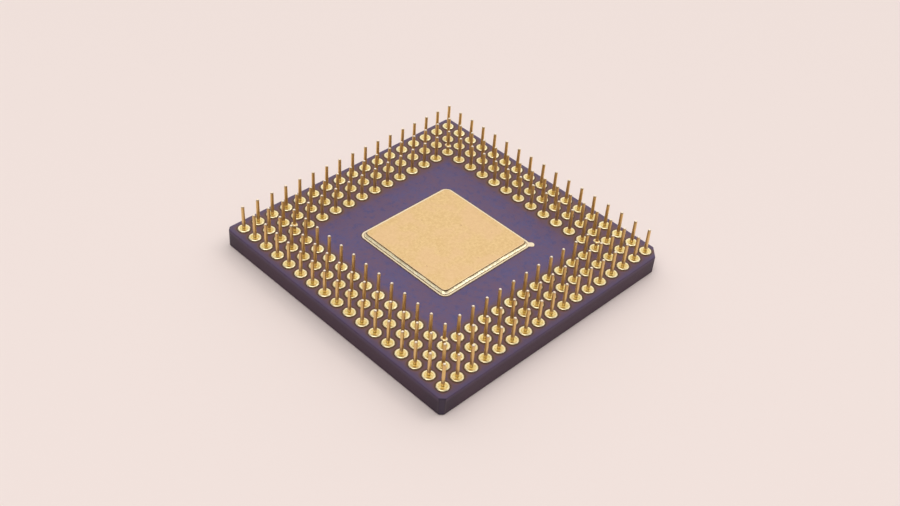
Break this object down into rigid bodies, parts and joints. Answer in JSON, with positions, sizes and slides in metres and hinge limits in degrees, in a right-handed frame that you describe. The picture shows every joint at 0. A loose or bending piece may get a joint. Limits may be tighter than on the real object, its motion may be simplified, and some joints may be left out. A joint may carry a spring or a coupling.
{
  "type": "processor",
  "caption": "Square ceramic processor package with rings of gold pins on one side around a soldered metal lid, a cut index corner and four standoff pins.",
  "frame": {"origin": "middle of the flat marking side, which is the side a heat sink sits on, at the bottom of the part", "axes": "+Z points away from the marking side along the pins; the cut index corner, where pin A1 stands, is at +X +Y; rows are lettered from A at +Y and columns numbered from 1 at +X"},
  "size_m": [0.0442, 0.0442, 0.0069],
  "materials": {
    "ceramic": "satin",
    "metallisation": "matte",
    "plating": "satin",
    "lid_plating": "satin",
    "pin_plating": "satin",
    "solder": "satin",
    "silicon": "polished"
  },
  "bodies": {
    "root": {"ceramic_base_layer": "ceramic", "ground_plane": "metallisation", "ceramic_lower_shelf_layer": "ceramic", "ceramic_upper_shelf_layer": "ceramic", "power_plane": "metallisation", "ceramic_pin_side_layer": "ceramic", "die_attach_pad": "plating", "die_attach_preform": "solder", "silicon_die": "silicon", "bond_wires_east": "plating", "bond_wires_north": "plating", "bond_wires_west": "plating", "bond_wires_south": "plating", "seal_ring": "plating", "seal_solder": "solder", "lid": "lid_plating", "standoff_pin_c3": "pin_plating", "standoff_pin_c15": "pin_plating", "standoff_pin_q3": "pin_plating", "standoff_pin_q15": "pin_plating", "pins_row_a": "pin_plating", "pins_row_b": "pin_plating", "pins_row_c": "pin_plating", "pins_row_q": "pin_plating", "pins_row_r": "pin_plating", "pins_row_s": "pin_plating", "pins_row_d_east": "pin_plating", "pins_row_d_west": "pin_plating", "pins_row_e_east": "pin_plating", "pins_row_e_west": "pin_plating", "pins_row_f_east": "pin_plating", "pins_row_f_west": "pin_plating", "pins_row_g_east": "pin_plating", "pins_row_g_west": "pin_plating", "pins_row_h_east": "pin_plating", "pins_row_h_west": "pin_plating", "pins_row_j_east": "pin_plating", "pins_row_j_west": "pin_plating", "pins_row_k_east": "pin_plating", "pins_row_k_west": "pin_plating", "pins_row_l_east": "pin_plating", "pins_row_l_west": "pin_plating", "pins_row_m_east": "pin_plating", "pins_row_m_west": "pin_plating", "pins_row_n_east": "pin_plating", "pins_row_n_west": "pin_plating", "pins_row_p_east": "pin_plating", "pins_row_p_west": "pin_plating"}
  },
  "joints": []
}
